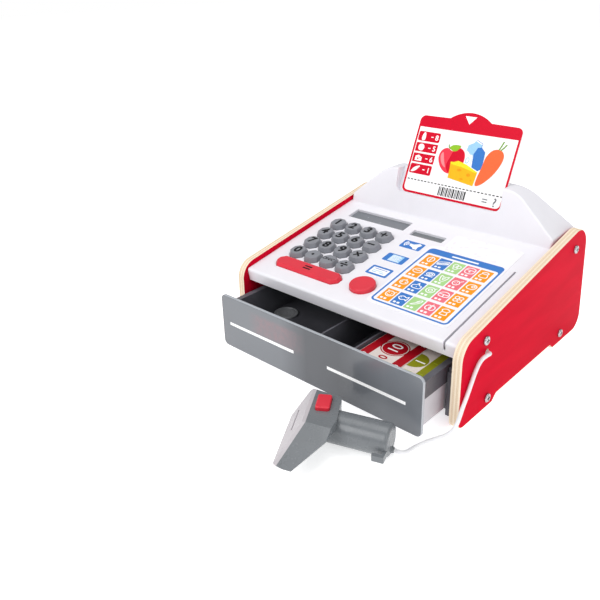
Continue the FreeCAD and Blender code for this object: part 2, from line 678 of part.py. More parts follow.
def grip(inset):
    start = -21.0 + inset
    body = rod(GRIP_R - inset, (start, 0, HALF_THICK), X, GRIP_END - inset - start)
    if not inset:
        body = body.makeFillet(2.5, [e for e in body.Edges if abs(e.CenterOfMass.x - GRIP_END) < 1e-6])
    return body


def grip_hook():
    """Small hook on the grip that hangs the scanner up."""
    low, high = 7.6, 12.6
    post = box(40.4, 43.0, -18.0, -10.0, low, high)
    arm = prism(block(33.6, 43.0, -19.4, -16.2, 1.0), "z", low, high)
    return post.fuse(arm)


TRIGGER = (-12.6, 5.4)
TRIGGER_SIZE = (11.0, 18.0)
TRIGGER_TURN = 14.0
TRIGGER_RISE = 3.0


def trigger_block(grow, low, high, radius):
    a, b = TRIGGER_SIZE[0] / 2 + grow, TRIGGER_SIZE[1] / 2 + grow
    solid = prism(block(-a, a, -b, b, radius), "z", low, high)
    solid.rotate(V(0, 0, 0), Z, TRIGGER_TURN)
    solid.translate(V(*TRIGGER, 0))
    return solid


def scanner_body():
    outer = fuse([scanner_head(0, SHELL), grip(0), grip_hook()])
    hollow = fuse([scanner_head(SHELL, 2 * SHELL), grip(SHELL)])
    exit_hole = rod(CORD_R + 0.9, (GRIP_END - 6, *CORD_EXIT), X, 12)
    return outer.cut(hollow).cut(exit_hole)


def scanner_shells():
    """Two mouldings that meet in the middle plane; the lower one has posts for the board."""
    body = scanner_body()
    top = body.common(box(-90, 90, -90, 90, HALF_THICK, 60)).cut(trigger_block(0.3, 20, 40, 2.3))
    posts = [rod(1.6, (x, y, 1.0), Z, 14.4) for x in (-19.0, -10.0) for y in (-13.0, 9.0)]
    posts = group(posts).common(fuse([scanner_head(0, SHELL), grip(0)]))
    bottom = body.common(box(-90, 90, -90, 90, -10, HALF_THICK)).fuse(posts).removeSplitter()
    return top, bottom


def scanner_window():
    """The pale face plate of the head: its two bevels, with the scan slit cut in one."""
    ahead = scanner_head(0, 0)
    plate = ahead.cut(scanner_head_keep())
    place, normal = bevel_plane(0)
    along = (BEVEL_FOOT[1] - BEVEL_FOOT[0]).normalize()
    across = normal.cross(along)
    middle = BEVEL_FOOT[0] + along * 13.5 + (across if across.z > 0 else -across) * 9.0
    slit = box(-13, 13, -0.8, 0.8, -0.9, 3)
    slit.Placement = FreeCAD.Placement(middle, FreeCAD.Rotation(along, normal.cross(along), normal, "XYZ"))
    return plate.cut(slit)


def scanner_head_keep():
    """The head behind its two bevel plates."""
    return scanner_head(0, SHELL)


def scanner_trigger():
    button = trigger_block(0, 24.9, 2 * HALF_THICK + TRIGGER_RISE, 2.0)
    top = 2 * HALF_THICK + TRIGGER_RISE
    button = button.makeFillet(1.0, [e for e in button.Edges if e.CenterOfMass.z > top - 0.01])
    flange = trigger_block(0.9, 24.2, 25.4, 2.0)
    return button.fuse(flange).removeSplitter()


RELIEF = 1.8


def scanner_board():
    board = prism(block(-22, -8, -16, 12, 1), "z", 15.4, 17.0)
    switch = box(-15.5, -10, 3.5, 9, 17.0, 21.5)
    return board.fuse(switch)


def scanner_buzzer():
    return rod(5.5, (-15.0, -8.5, 17.02), Z, 3.4)


def cord_relief():
    """Tapered bush where the cord enters the grip."""
    cone = Part.makeCone(CORD_R + 1.2, CORD_R + 0.4, RELIEF, V(GRIP_END, *CORD_EXIT), X)
    neck = rod(CORD_R + 0.85, (GRIP_END - 4, *CORD_EXIT), X, 4.2)
    return cone.fuse(neck)


# ---- cord ---------------------------------------------------------------------------
def relief_tip():
    """Where the cord leaves the tapered bush, and the way it points there."""
    turn = math.radians(SCANNER_TURN)
    along, across = GRIP_END + RELIEF, CORD_EXIT[0]
    place = V(SCANNER_AT[0] + along * math.cos(turn) - across * math.sin(turn),
              SCANNER_AT[1] + along * math.sin(turn) + across * math.cos(turn), CORD_EXIT[1])
    return place, V(math.cos(turn), math.sin(turn), 0)


def cord_points():
    tip, way = relief_tip()
    return [V(*p) for p in CORD_ROUTE] + [tip]


def cord_path(points):
    """Straight runs joined by tangent arcs as large as the runs allow."""
    edges, here = [], points[0]
    for i in range(1, len(points) - 1):
        back, on = points[i - 1] - points[i], points[i + 1] - points[i]
        run = min(back.Length, on.Length)
        back.normalize()
        on.normalize()
        turn = math.pi - back.getAngle(on)
        cut = 0.45 * run
        radius = cut / math.tan(turn / 2)
        start, finish = points[i] + back * cut, points[i] + on * cut
        middle = (back + on).normalize()
        through = points[i] + middle * (radius / math.cos(turn / 2) - radius)
        edges.append(Part.LineSegment(here, start).toShape())
        edges.append(Part.Arc(start, through, finish).toShape())
        here = finish
    edges.append(Part.LineSegment(here, points[-1]).toShape())
    return Part.Wire(edges)


def cord():
    path = cord_path(cord_points())
    first = path.Edges[0]
    start = first.valueAt(first.FirstParameter)
    circle = Part.Wire(Part.makeCircle(CORD_R, start, first.tangentAt(first.FirstParameter)))
    tube = path.makePipeShell([circle], True, False)
    expected = math.pi * CORD_R ** 2 * path.Length
    print(f"cord length {path.Length:.1f} mm, volume {tube.Volume:.0f} against {expected:.0f} mm3")
    return tube


def cord_stop():
    """Bead that keeps the cord from being pulled out of the panel."""
    y, z = CORD_HOLE
    return rod(3.4, (IN - 4.5, y, z), X, 4.4).fuse(rod(2.4, (IN - 0.2, y, z), X, 5.7))


def main():
    os.makedirs(PARTS, exist_ok=True)
    save("side_panel_left", side_panel(-1))
    save("side_panel_right", side_panel(1))
    save("panel_screws", panel_screws())
    save("top_housing", top_housing())
    save("rear_cover", rear_cover())
    save("rear_cover_screws", rear_cover_screws())
    save("chassis", chassis())
    save("display_window", glazing(LCD, -3.7, -WALL))
    save("display_panel", glazing(LCD, -6.4, -3.7, 1.5))
    save("solar_cell", glazing(SOLAR, -3.9, -WALL, 2.0))
    save("calculator_board", calculator_board())
    save("board_screws", board_screws())
    save("key_mat", key_mat())
    for name, (s0, s1) in STICKERS.items():
        save(name, on_deck(prism(block(*STICKER_X, s0, s1, 1), "z", 0, SHEET)))
    save("touch_sheet", on_deck(prism(PAD, "z", 0, SHEET)))
    for name, x, s in key_places():
        save(name, key(x, s))
    save("equals_bar", equals_bar())
    save("release_button", release_button())
    save("release_spring", release_spring())
    save("latch_lever", latch_lever())
    save("latch_pin", latch_pin())
    save("drawer_front", drawer_front().cut(drawer_screws()))
    save("drawer_box", drawer_box().cut(drawer_screws()))
    save("coin_tray", coin_tray())
    save("drawer_screws", drawer_screws())
    save("drawer_spring", drawer_spring())
    save("play_coin", play_coin())
    upper, lower = play_notes()
    save("play_note_red", upper)
    save("play_note_green", lower)
    save("list_card", list_card())
    top, bottom = scanner_shells()
    save("scanner_shell_top", on_scanner(top))
    save("scanner_shell_bottom", on_scanner(bottom))
    save("scanner_window", on_scanner(scanner_window()))
    save("scanner_trigger", on_scanner(scanner_trigger()))
    save("scanner_board", on_scanner(scanner_board()))
    save("scanner_buzzer", on_scanner(scanner_buzzer()))
    save("cord_relief", on_scanner(cord_relief()).cut(cord()))
    save("cord_stop", cord_stop().cut(cord()))
    save("cord", cord())


main()
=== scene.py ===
"""Toy cash register: final materials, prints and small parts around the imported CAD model.

Lengths in the drawing functions are millimetres; Blender's own are metres. Flat prints are
thin closed shapes drawn on a named plane: the deck, the list card, the drawer's front, a note.
"""
import math

import bmesh
import bpy
from mathutils import Matrix, Vector
from mathutils.geometry import tessellate_polygon


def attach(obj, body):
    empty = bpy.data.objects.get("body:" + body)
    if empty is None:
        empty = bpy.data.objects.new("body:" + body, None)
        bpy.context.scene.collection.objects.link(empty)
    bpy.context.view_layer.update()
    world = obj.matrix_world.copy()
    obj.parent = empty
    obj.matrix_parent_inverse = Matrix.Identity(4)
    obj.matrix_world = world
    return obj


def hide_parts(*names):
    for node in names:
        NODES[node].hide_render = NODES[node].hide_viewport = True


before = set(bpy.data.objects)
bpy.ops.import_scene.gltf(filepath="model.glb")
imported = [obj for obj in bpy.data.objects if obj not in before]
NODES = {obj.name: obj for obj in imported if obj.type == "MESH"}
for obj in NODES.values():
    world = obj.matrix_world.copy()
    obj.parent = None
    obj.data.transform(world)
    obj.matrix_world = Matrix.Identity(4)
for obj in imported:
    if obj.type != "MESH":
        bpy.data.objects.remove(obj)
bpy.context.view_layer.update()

MM = 0.001
ORIGIN_Y = 48.0                      # the panels' front edge lies this far in front of the origin
TILT = math.radians(10.2)            # slope of the deck
DECK_Z = 69.25
CARD_LEAN = math.radians(24.6)
CARD_FOOT = (2.0, 168.6, 119.4)
SCANNER_AT, SCANNER_TURN = (60.0, -69.2), math.radians(18.6)
SHEET = 0.35                         # thickness of the printed sheets on the deck
PANEL_FACE = 122.5                   # outer face of the side panels
PLY, PLIES = 8.0, 5                  # thickness of a side panel and the number of its layers

CAMERA_AT = (0.3377, -0.4414, 0.3324)
CAMERA_YAW, CAMERA_PITCH, CAMERA_ROLL = 43.335, 22.98, -1.589      # degrees
CAMERA_LENS, CAMERA_SHIFT = 41.18, (-0.0082, -0.0673)

SKY, SKY_ON_OBJECT = 1.0, 0.48       # world strength to the camera and to everything else
TARGET = (0, 0, 0.06)                # the lights point at the middle of the till


# ---- camera and light ---------------------------------------------------------------
def add_camera():
    yaw, pitch, roll = (math.radians(a) for a in (CAMERA_YAW, CAMERA_PITCH, CAMERA_ROLL))
    ahead = Vector((-math.sin(yaw) * math.cos(pitch), math.cos(yaw) * math.cos(pitch), -math.sin(pitch)))
    right = ahead.cross(Vector((0, 0, 1))).normalized()
    up = right.cross(ahead)
    turned_right = math.cos(roll) * right + math.sin(roll) * up
    turned_up = -math.sin(roll) * right + math.cos(roll) * up
    data = bpy.data.cameras.new("camera")
    data.sensor_width = 36.0
    data.lens = CAMERA_LENS
    data.shift_x, data.shift_y = CAMERA_SHIFT
    data.clip_start = 0.01
    camera = bpy.data.objects.new("camera", data)
    turn = Matrix((turned_right, turned_up, -ahead)).transposed().to_4x4()
    camera.matrix_world = Matrix.Translation(CAMERA_AT) @ turn
    bpy.context.scene.collection.objects.link(camera)
    bpy.context.scene.camera = camera


def area_light(name, place, target, size, power):
    data = bpy.data.lights.new(name, "AREA")
    data.shape = "RECTANGLE"
    data.size, data.size_y = size
    data.energy = power
    light = bpy.data.objects.new(name, data)
    light.location = place
    light.rotation_euler = (Vector(target) - Vector(place)).to_track_quat("-Z", "Y").to_euler()
    bpy.context.scene.collection.objects.link(light)


def add_studio():
    world = bpy.data.worlds.new("studio")
    world.use_nodes = True
    background = world.node_tree.nodes["Background"]
    background.inputs["Color"].default_value = (1.0, 1.0, 1.0, 1.0)
    background.inputs["Strength"].default_value = SKY
    dim = world.node_tree.nodes.new("ShaderNodeBackground")
    dim.inputs["Color"].default_value = (1.0, 1.0, 1.0, 1.0)
    dim.inputs["Strength"].default_value = SKY_ON_OBJECT
    seen = world.node_tree.nodes.new("ShaderNodeLightPath")
    choose = world.node_tree.nodes.new("ShaderNodeMixShader")
    link = world.node_tree.links.new
    link(seen.outputs["Is Camera Ray"], choose.inputs[0])
    link(dim.outputs[0], choose.inputs[1])
    link(background.outputs[0], choose.inputs[2])
    link(choose.outputs[0], world.node_tree.nodes["World Output"].inputs["Surface"])
    bpy.context.scene.world = world
    area_light("top", (-0.05, 0.15, 1.5), TARGET, (1.1, 1.0), 8.0)
    area_light("front", (-0.25, -1.15, 0.95), TARGET, (1.0, 0.8), 9.5)
    area_light("side", (1.25, -0.25, 0.65), (0.05, 0, 0.05), (0.9, 0.8), 3.2)
    view = bpy.context.scene.view_settings
    view.view_transform = "Standard"
    view.look = "None"


# ---- materials ----------------------------------------------------------------------
def srgb(text):
    """Linear colour of a six-digit hexadecimal screen colour."""
    values = [int(text[i:i + 2], 16) / 255 for i in (0, 2, 4)]
    return [v / 12.92 if v <= 0.04045 else ((v + 0.055) / 1.055) ** 2.4 for v in values]


class Surface:
    """A Principled material with a small node graph in object coordinates."""

    def __init__(self, name, colour, rough=0.5, metal=0.0, **sockets):
        self.material = bpy.data.materials.new(name)
        self.material.use_nodes = True
        self.tree = self.material.node_tree
        self.shader = self.tree.nodes["Principled BSDF"]
        self.colour = srgb(colour) if isinstance(colour, str) else list(colour)
        self.material.diffuse_color = self.colour + [1.0]
        self.shader.inputs["Base Color"].default_value = self.colour + [1.0]
        self.shader.inputs["Roughness"].default_value = rough
        self.shader.inputs["Metallic"].default_value = metal
        for socket, value in sockets.items():
            self.shader.inputs[socket.replace("_", " ")].default_value = value
        self.rough = rough
        self.place = self.node("ShaderNodeTexCoord").outputs["Object"]

    def node(self, kind, **settings):
        made = self.tree.nodes.new(kind)
        for key, value in settings.items():
            setattr(made, key, value)
        return made

    def link(self, source, target):
        self.tree.links.new(source, target)

    def stretched(self, scale):
        mapping = self.node("ShaderNodeMapping")
        mapping.inputs["Scale"].default_value = scale
        self.link(self.place, mapping.inputs["Vector"])
        return mapping.outputs["Vector"]

    def noise(self, scale, detail=2.0, stretch=(1, 1, 1), rough=0.5):
        made = self.node("ShaderNodeTexNoise")
        made.inputs["Scale"].default_value = scale
        made.inputs["Detail"].default_value = detail
        made.inputs["Roughness"].default_value = rough
        self.link(self.stretched(stretch), made.inputs["Vector"])
        return made.outputs["Fac"]

    def math(self, operation, a, b=None, clamp=False):
        made = self.node("ShaderNodeMath", operation=operation, use_clamp=clamp)
        for socket, value in zip(made.inputs, (a, b)):
            if value is None:
                continue
            if isinstance(value, (int, float)):
                socket.default_value = value
            else:
                self.link(value, socket)
        return made.outputs[0]

    def spread(self, source, low, high, to_low, to_high):
        made = self.node("ShaderNodeMapRange")
        for name, value in (("From Min", low), ("From Max", high), ("To Min", to_low), ("To Max", to_high)):
            made.inputs[name].default_value = value
        self.link(source, made.inputs["Value"])
        return made.outputs["Result"]

    def mix(self, amount, first, second):
        made = self.node("ShaderNodeMix", data_type="RGBA")
        for socket, value in ((made.inputs[0], amount), (made.inputs[6], first), (made.inputs[7], second)):
            if isinstance(value, (int, float)):
                socket.default_value = value
            elif isinstance(value, (list, tuple)):
                socket.default_value = list(value)[:3] + [1.0]
            else:
                self.link(value, socket)
        return made.outputs[2]

    def split(self, vector):
        made = self.node("ShaderNodeSeparateXYZ")
        self.link(vector, made.inputs[0])
        return made.outputs

    def normal(self):
        return self.node("ShaderNodeNewGeometry").outputs["True Normal"]

    def paint(self, colour):
        self.link(colour, self.shader.inputs["Base Color"])

    def roughness(self, source, low, high):
        self.link(self.spread(source, 0.3, 0.7, low, high), self.shader.inputs["Roughness"])

    def bump(self, source, depth, strength=1.0):
        """depth in millimetres."""
        made = self.node("ShaderNodeBump")
        made.inputs["Distance"].default_value = depth * MM
        made.inputs["Strength"].default_value = strength
        self.link(source, made.inputs["Height"])
        self.link(made.outputs["Normal"], self.shader.inputs["Normal"])

    def speckled(self, amount, scale, base=None):
        """Very small colour variation: amount is the share of the colour that changes."""
        base = base or self.colour
        dark = [c * (1 - amount) for c in base]
        light = [min(1.0, c * (1 + amount)) for c in base]
        return self.mix(self.spread(self.noise(scale, 3), 0.35, 0.65, 0, 1), dark, light)


MADE = {}


def moulded(name, colour, rough=0.42, grain=0.012, variation=0.03, **sockets):
    """Injection-moulded plastic: fine spark-eroded grain and soft mottling."""
    if name in MADE:
        return MADE[name]
    surface = Surface(name, colour, rough, **sockets)
    surface.paint(surface.speckled(variation, 60))
    surface.roughness(surface.noise(140, 2), rough - 0.05, rough + 0.06)
    surface.bump(surface.noise(2600, 2), grain)
    MADE[name] = surface.material
    return surface.material


def ink(name, colour, rough=0.38):
    """Screen-printed ink: slightly uneven coverage on a fine dot grain."""
    if name in MADE:
        return MADE[name]
    surface = Surface(name, colour, rough, Specular_IOR_Level=0.1)
    surface.paint(surface.speckled(0.05, 900))
    surface.roughness(surface.noise(700, 2), rough - 0.06, rough + 0.08)
    surface.bump(surface.noise(3500, 1), 0.004)
    MADE[name] = surface.material
    return surface.material


def lacquered_ply():
    """Red lacquer on the two faces, bare plies of light wood on the edges."""
    surface = Surface("lacquered_ply", "DC0A2D", 0.34, Specular_IOR_Level=0.008)
    x = surface.split(surface.place)[0]
    across = surface.math("ABSOLUTE", surface.split(surface.normal())[0])
    on_face = surface.math("GREATER_THAN", across, 0.9)
    depth = surface.math("MULTIPLY", surface.math("ABSOLUTE", x), 1 / MM)
    into = surface.math("SUBTRACT", depth, PANEL_FACE - PLY)
    ply = surface.math("FLOOR", surface.math("MULTIPLY", into, PLIES / PLY))
    odd = surface.math("MODULO", ply, 2.0)
    grain_long = surface.noise(260, 4, (60, 1, 1))
    end_grain = surface.noise(1500, 3)
    cream = surface.mix(surface.spread(grain_long, 0.3, 0.7, 0, 1), srgb("E9D6BC"), srgb("F6E9D6"))
    tan = surface.mix(surface.spread(end_grain, 0.3, 0.7, 0, 1), srgb("D3B794"), srgb("EAD6BA"))
    wood = surface.mix(surface.math("MULTIPLY", odd, 0.75), cream, tan)
    line = surface.math("FRACT", surface.math("MULTIPLY", into, PLIES / PLY))
    glue = surface.math("LESS_THAN", line, 0.07)
    wood = surface.mix(surface.math("MULTIPLY", glue, 0.45), wood, srgb("B08E68"))
    wave = surface.noise(14, 3, (1, 1, 6))
    figure = surface.noise(75, 4, (1, 0.12, 1))
    red = surface.mix(surface.spread(wave, 0.3, 0.7, 0, 1), srgb("CC0628"), srgb("D80A2D"))
    red = surface.mix(surface.math("MULTIPLY", surface.spread(figure, 0.52, 0.7, 0, 1), 0.06), red, srgb("B40722"))
    surface.paint(surface.mix(on_face, wood, red))
    rough = surface.mix(on_face, [0.62] * 3, [0.33] * 3)
    surface.link(rough, surface.shader.inputs["Roughness"])
    height = surface.math("ADD", surface.math("MULTIPLY", figure, 0.7), surface.math("MULTIPLY", end_grain, 0.3))
    surface.bump(height, 0.05, 0.6)
    return surface.material


def clear_front():
    """Smoked translucent sheet: grey body; the pale edges are a painted highlight standing in for the light the
    sheet pipes.
    """
    surface = Surface("smoked_acrylic", "85898F", 0.24)
    facing = surface.math("ABSOLUTE", surface.split(surface.normal())[1])
    # painted highlight: faces turned away from front and back get a pale colour for light piped along the sheet's
    # edges
    edge = surface.math("LESS_THAN", facing, 0.85)
    x, _, z = surface.split(surface.place)
    body = surface.mix(surface.spread(surface.noise(9, 2), 0.3, 0.7, 0, 1), srgb("676A70"), srgb("6F7379"))
    middle = surface.math("MULTIPLY", surface.spread(x, -0.035, -0.005, 0, 1), surface.spread(x, 0.075, 0.03, 0, 1))
    body = surface.mix(surface.math("MULTIPLY", middle, 0.8), body, srgb("3C3E44"))
    left = surface.math("MULTIPLY", surface.spread(x, -0.075, -0.060, 0, 1), surface.spread(x, -0.005, -0.03, 0, 1))
    high = surface.math("MULTIPLY", surface.spread(z, 0.030, 0.036, 0, 1), surface.spread(z, 0.054, 0.050, 0, 1))
    patch = surface.math("MULTIPLY", surface.math("MULTIPLY", left, high), surface.noise(260, 3))
    body = surface.mix(surface.math("MULTIPLY", patch, 0.55), body, srgb("9A6A70"))
    surface.paint(surface.mix(surface.math("MULTIPLY", edge, 0.8), body, srgb("B4B9C0")))
    surface.shader.inputs["Coat Weight"].default_value = 0.3
    surface.shader.inputs["Coat Roughness"].default_value = 0.08
    surface.bump(surface.noise(800, 2), 0.004)
    return surface.material


def metal(name, colour, rough=0.25, brushed=None):
    if name in MADE:
        return MADE[name]
    surface = Surface(name, colour, rough, 1.0)
    surface.paint(surface.speckled(0.08, 400))
    stretch = brushed or (1, 1, 1)
    surface.roughness(surface.noise(900, 3, stretch), rough - 0.07, rough + 0.12)
    surface.bump(surface.noise(1800, 2, stretch), 0.006)
    MADE[name] = surface.material
    return surface.material


def screw_steel():
    """Nickel-plated head; the bottom of the cross recess is painted dark as shade."""
    surface = Surface("plated_screw", "B9BBBE", 0.22, 1.0)
    x = surface.split(surface.place)[0]
    depth = surface.math("MULTIPLY", surface.math("ABSOLUTE", x), 1 / MM)
    below_rim = surface.math("LESS_THAN", depth, PANEL_FACE + 1.7)
    across = surface.math("ABSOLUTE", surface.split(surface.normal())[0])
    # painted shade: the flat bottom of the recess, below the rim, is darkened for the shade that falls in it
    painted_recess_shade = surface.math("MULTIPLY", below_rim, surface.math("GREATER_THAN", across, 0.9))
    surface.paint(surface.mix(surface.math("MULTIPLY", painted_recess_shade, 0.85), surface.speckled(0.1, 700), srgb("3A3B3E")))
    surface.bump(surface.noise(1500, 2), 0.006)
    return surface.material


def set_material(node, material):
    slots = NODES[node].data.materials
    slots.clear()
    slots.append(material)


def smooth(obj, degrees=32):
    """Smooth shading with sharp edges kept; the mesh's points aren't touched."""
    mesh = obj.data
    mesh.polygons.foreach_set("use_smooth", [True] * len(mesh.polygons))
    if hasattr(mesh, "set_sharp_from_angle"):
        mesh.set_sharp_from_angle(angle=math.radians(degrees))


# ---- drawing planes -----------------------------------------------------------------
def plane(origin, across, upward, outward):
    """Matrix from (across, up, out) in millimetres to the model in metres."""
    rows = [list(across), list(upward), list(outward)]
    turn = Matrix(rows).transposed().to_4x4()
    place = Vector((origin[0], origin[1] - ORIGIN_Y, origin[2])) * MM
    return Matrix.Translation(place) @ turn @ Matrix.Scale(MM, 4)


DECK = plane((0, 0, DECK_Z), (1, 0, 0), (0, math.cos(TILT), math.sin(TILT)), (0, -math.sin(TILT), math.cos(TILT)))
CARD = plane(CARD_FOOT, (1, 0, 0), (0, math.sin(CARD_LEAN), math.cos(CARD_LEAN)),
             (0, -math.cos(CARD_LEAN), math.sin(CARD_LEAN)))
FRONT = plane((0, -32.1, 0), (1, 0, 0), (0, 0, 1), (0, -1, 0))
LEVEL = plane((0, 0, 0), (1, 0, 0), (0, 1, 0), (0, 0, 1))


# ---- flat shapes --------------------------------------------------------------------
def rect(x0, y0, x1, y1, radius=0.0, steps=5):
    if radius <= 0:
        return [(x0, y0), (x1, y0), (x1, y1), (x0, y1)]
    points = []
    for cx, cy, start in ((x1 - radius, y0 + radius, -90), (x1 - radius, y1 - radius, 0),
                          (x0 + radius, y1 - radius, 90), (x0 + radius, y0 + radius, 180)):
        points += arc(cx, cy, radius, start, start + 90, steps)
    return points


def arc(cx, cy, radius, start, end, steps=12):
    return [(cx + radius * math.cos(math.radians(start + (end - start) * i / steps)),
             cy + radius * math.sin(math.radians(start + (end - start) * i / steps))) for i in range(steps + 1)]


def disc(cx, cy, radius, steps=32):
    return arc(cx, cy, radius, 0, 360, steps)[:-1]


def oval(cx, cy, a, b, turn=0.0, steps=28):
    c, s = math.cos(math.radians(turn)), math.sin(math.radians(turn))
    points = []
    for i in range(steps):
        u, v = a * math.cos(math.tau * i / steps), b * math.sin(math.tau * i / steps)
        points.append((cx + u * c - v * s, cy + u * s + v * c))
    return points


def blob(points, steps=5):
    """Smooth closed outline through the points."""
    out = []
    count = len(points)
    for i in range(count):
        p0, p1, p2, p3 = (Vector(points[(i + k - 1) % count]) for k in range(4))
        for j in range(steps):
            t = j / steps
            out.append(tuple(0.5 * (2 * p1 + (p2 - p0) * t + (2 * p0 - 5 * p1 + 4 * p2 - p3) * t * t
                                    + (3 * p1 - p0 - 3 * p2 + p3) * t ** 3)))
    return out


def stroke(points, width, closed=False):
    """Outline of a line of the given width through the points."""
    pts = [Vector(p) for p in points]
    left, right = [], []
    count = len(pts)
    for i in range(count):
        before = pts[i - 1] if (i or closed) else None
        after = pts[(i + 1) % count] if (i < count - 1 or closed) else None
        d0 = (pts[i] - before).normalized() if before is not None else None
        d1 = (after - pts[i]).normalized() if after is not None else None
        d0, d1 = d0 or d1, d1 or d0
        n0, n1 = Vector((-d0.y, d0.x)), Vector((-d1.y, d1.x))
        middle = n0 + n1
        middle = middle.normalized() if middle.length > 1e-6 else n0
        reach = width / 2 / max(0.45, middle.dot(n0))
        left.append(tuple(pts[i] + middle * reach))
        right.append(tuple(pts[i] - middle * reach))
    if closed:
        return [left, right[::-1]]
    return [left + right[::-1]]


class Print:
    """Thin closed shapes on a plane, gathered in one mesh: inks are its materials."""

    def __init__(self, name, where, inks, lift=0.0, layer=0.05):
        self.name, self.where, self.inks = name, where, inks
        self.lift, self.layer = lift, layer
        self.names = list(inks)
        self.form = bmesh.new()
        self.shift = (0.0, 0.0, 0.0, 1.0)

    def at(self, x=0.0, y=0.0, turn=0.0, size=1.0):
        self.shift = (x, y, math.radians(turn), size)
        return self

    def placed(self, point):
        x, y, turn, size = self.shift
        u, v = point[0] * size, point[1] * size
        return x + u * math.cos(turn) - v * math.sin(turn), y + u * math.sin(turn) + v * math.cos(turn)

    def add(self, loops, colour, level=1):
        if isinstance(loops[0][0], (int, float)):
            loops = [loops]
        loops = [[self.placed(p) for p in loop] for loop in loops]
        low, high = self.lift - 0.02, self.lift + self.layer * level
        flat = [p for loop in loops for p in loop]
        faces = tessellate_polygon([[Vector((x, y, 0)) for x, y in loop] for loop in loops])
        top = [self.form.verts.new((x, y, high)) for x, y in flat]
        bottom = [self.form.verts.new((x, y, low)) for x, y in flat]
        index = self.names.index(colour)
        made = []
        for a, b, c in faces:
            made.append(self.form.faces.new((top[a], top[b], top[c])))
            made.append(self.form.faces.new((bottom[c], bottom[b], bottom[a])))
        start = 0
        for loop in loops:
            count = len(loop)
            for i in range(count):
                j, k = start + i, start + (i + 1) % count
                made.append(self.form.faces.new((bottom[j], bottom[k], top[k], top[j])))
            start += count
        for face in made:
            face.material_index = index
        return self

    def line(self, points, width, colour, level=1, closed=False):
        return self.add(stroke(points, width, closed), colour, level)

    def text(self, words, x, y, height, colour, level=1, turn=0.0, bold=0.0, squeeze=1.0):
        """Digits and signs, centred on (x, y); height is that of a capital."""
        curve = bpy.data.curves.new("text", "FONT")
        curve.body = words
        curve.align_x = "CENTER"
        curve.size = height / 0.69
        curve.offset = bold
        curve.extrude = 0.5
        curve.resolution_u = 5
        holder = bpy.data.objects.new("text", curve)
        mesh = bpy.data.meshes.new_from_object(holder)
        bpy.data.objects.remove(holder)
        bpy.data.curves.remove(curve)
        piece = bmesh.new()
        piece.from_mesh(mesh)
        bpy.data.meshes.remove(mesh)
        ys = [v.co.y for v in piece.verts]
        middle = (min(ys) + max(ys)) / 2
        low, high = self.lift - 0.02, self.lift + self.layer * level
        spin = Matrix.Rotation(math.radians(turn), 2)
        index = self.names.index(colour)
        new = {}
        for v in piece.verts:
            local = spin @ Vector((v.co.x * squeeze, v.co.y - middle))
            u, w = self.placed((x + local.x, y + local.y))
            new[v] = self.form.verts.new((u, w, high if v.co.z > 0 else low))
        for f in piece.faces:
            try:
                self.form.faces.new([new[v] for v in f.verts]).material_index = index
            except ValueError:
                continue
        piece.free()
        return self

    def done(self, body):
        bmesh.ops.remove_doubles(self.form, verts=self.form.verts, dist=0.0005)
        bmesh.ops.recalc_face_normals(self.form, faces=self.form.faces)
        self.form.transform(self.where)
        mesh = bpy.data.meshes.new(self.name)
        self.form.to_mesh(mesh)
        self.form.free()
        for material in self.inks.values():
            mesh.materials.append(material)
        piece = bpy.data.objects.new(self.name, mesh)
        bpy.context.scene.collection.objects.link(piece)
        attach(piece, body)
        return piece


INKS = {
    "white": ("ink_white", "F7F7F8"), "black": ("ink_black", "17171A"), "blue": ("ink_blue", "3B78C4"),
    "orange": ("ink_orange", "F0981B"), "green": ("ink_green", "A5D088"), "pink": ("ink_pink", "E8707E"),
    "red": ("ink_red", "D0052A"), "dark_red": ("ink_dark_red", "A30D1C"), "olive": ("ink_olive", "84861A"),
    "lime": ("ink_lime", "A9BD2C"), "grey": ("ink_grey", "6C6E73"), "paper": ("ink_paper", "DAD0CA"),
    "yellow": ("ink_yellow", "F6E02A"), "cheese": ("ink_cheese", "F9B51C"),
    "cheese_dark": ("ink_cheese_dark", "EE9A12"), "carrot": ("ink_carrot", "F06A3C"),
    "leaf": ("ink_leaf", "8FBF2F"), "stem": ("ink_stem", "6F9A32"), "sky": ("ink_sky", "9CCBEE"),
    "rose": ("ink_rose", "EE3B4E"), "blush": ("ink_blush", "F08B90"),
}


def inks(*names):
    return {name: ink(*INKS[name]) for name in names}


# ---- calculator prints --------------------------------------------------------------
KEY_X0, KEY_DX, KEY_S0, KEY_DS, KEY_RISE = -88.8, 19.2, 112.5, 20.5, 4.7
KEY_SIGNS = [["1", "2", "3", "plus"], ["4", "5", "6", "minus"], ["7", "8", "9", "times"],
             ["0", "point", "on_clear", "divide"]]


def key_legends():
    """Digits and signs on the keys' tops, a little proud of them."""
    for row, names in enumerate(KEY_SIGNS):
        for column, name in enumerate(names):
            art = Print(f"legend_{name}", DECK, inks("black"), KEY_RISE)
            art.at(KEY_X0 + column * KEY_DX, KEY_S0 - row * KEY_DS)
            if name.isdigit():
                art.text(name, 0, 0.3, 8.8, "black", bold=0.5, squeeze=1.12)
            elif name == "plus":
                art.add(rect(-4.1, -0.95, 4.1, 0.95), "black").add(rect(-0.95, -4.1, 0.95, 4.1), "black", 1.1)
            elif name == "minus":
                art.add(rect(-4.1, -1.0, 4.1, 1.0), "black")
            elif name == "times":
                art.line([(-3.2, -3.2), (3.2, 3.2)], 1.9, "black")
                art.line([(-3.2, 3.2), (3.2, -3.2)], 1.9, "black", 1.1)
            elif name == "divide":
                art.add(rect(-4.1, -0.95, 4.1, 0.95), "black").add(disc(0, 3.1, 1.3), "black")
                art.add(disc(0, -3.1, 1.3), "black")
            elif name == "point":
                art.add(disc(0, 0.2, 1.5), "black")
            else:
                art.text("ON/C", 0, 0.6, 3.5, "black", bold=0.12, squeeze=1.0)
            art.done("key_" + name)
    bar = Print("legend_equals", DECK, inks("black"), 3.4)
    bar.at(-59.2, 31.6)
    bar.add(rect(-4.3, 0.8, 4.3, 2.5), "black").add(rect(-4.3, -2.5, 4.3, -0.8), "black")
    bar.done("equals_bar")


